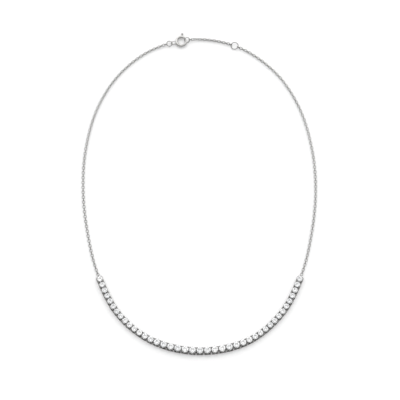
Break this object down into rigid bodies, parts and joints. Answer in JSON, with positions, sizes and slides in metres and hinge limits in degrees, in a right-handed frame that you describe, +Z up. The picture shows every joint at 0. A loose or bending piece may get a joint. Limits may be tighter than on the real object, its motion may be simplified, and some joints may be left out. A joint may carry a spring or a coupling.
{
  "type": "riviere necklace",
  "caption": "Riviere necklace laid flat as a closed loop: graduated round stones in hinged four-prong settings, fine cable chain with an adjuster ring, spring ring clasp.",
  "frame": {"origin": "centre of the outline seen from above, on the surface that the necklace lies on", "axes": "+Z up from the surface; -Y towards the front of the row of stones, +Y towards the clasp; +X to the right seen from the front"},
  "size_m": [0.118, 0.1713, 0.0026],
  "materials": {
    "diamond": "polished",
    "setting_metal": "polished",
    "chain_metal": "polished",
    "clasp_metal": "polished"
  },
  "bodies": {
    "necklace": {"stone_01": "diamond", "stone_02": "diamond", "stone_03": "diamond", "stone_04": "diamond", "stone_05": "diamond", "stone_06": "diamond", "stone_07": "diamond", "stone_08": "diamond", "stone_09": "diamond", "stone_10": "diamond", "stone_11": "diamond", "stone_12": "diamond", "stone_13": "diamond", "stone_14": "diamond", "stone_15": "diamond", "stone_16": "diamond", "stone_17": "diamond", "stone_18": "diamond", "stone_19": "diamond", "stone_20": "diamond", "stone_21": "diamond", "stone_22": "diamond", "stone_23": "diamond", "stone_24": "diamond", "stone_25": "diamond", "stone_26": "diamond", "stone_27": "diamond", "stone_28": "diamond", "stone_29": "diamond", "stone_30": "diamond", "stone_31": "diamond", "stone_32": "diamond", "stone_33": "diamond", "stone_34": "diamond", "stone_35": "diamond", "stone_36": "diamond", "stone_37": "diamond", "stone_38": "diamond", "stone_39": "diamond", "stone_40": "diamond", "stone_41": "diamond", "settings_left": "setting_metal", "settings_right": "setting_metal", "chain_left": "chain_metal", "chain_right": "chain_metal", "chain_extender": "chain_metal", "adjuster_ring": "chain_metal", "end_ring": "chain_metal", "jump_ring": "chain_metal", "clasp_ring": "clasp_metal"},
    "trigger": {"clasp_trigger": "clasp_metal"}
  },
  "joints": [
    {"name": "trigger_turn", "type": "hinge", "parent": "necklace", "child": "trigger", "pos_m": [-0.0093, 0.08108, 0.00094], "axis": [0, 0, 1], "range_deg": [0, 70], "stiffness_Nm_per_rad": 0.003, "springref_deg": -17.19}
  ]
}
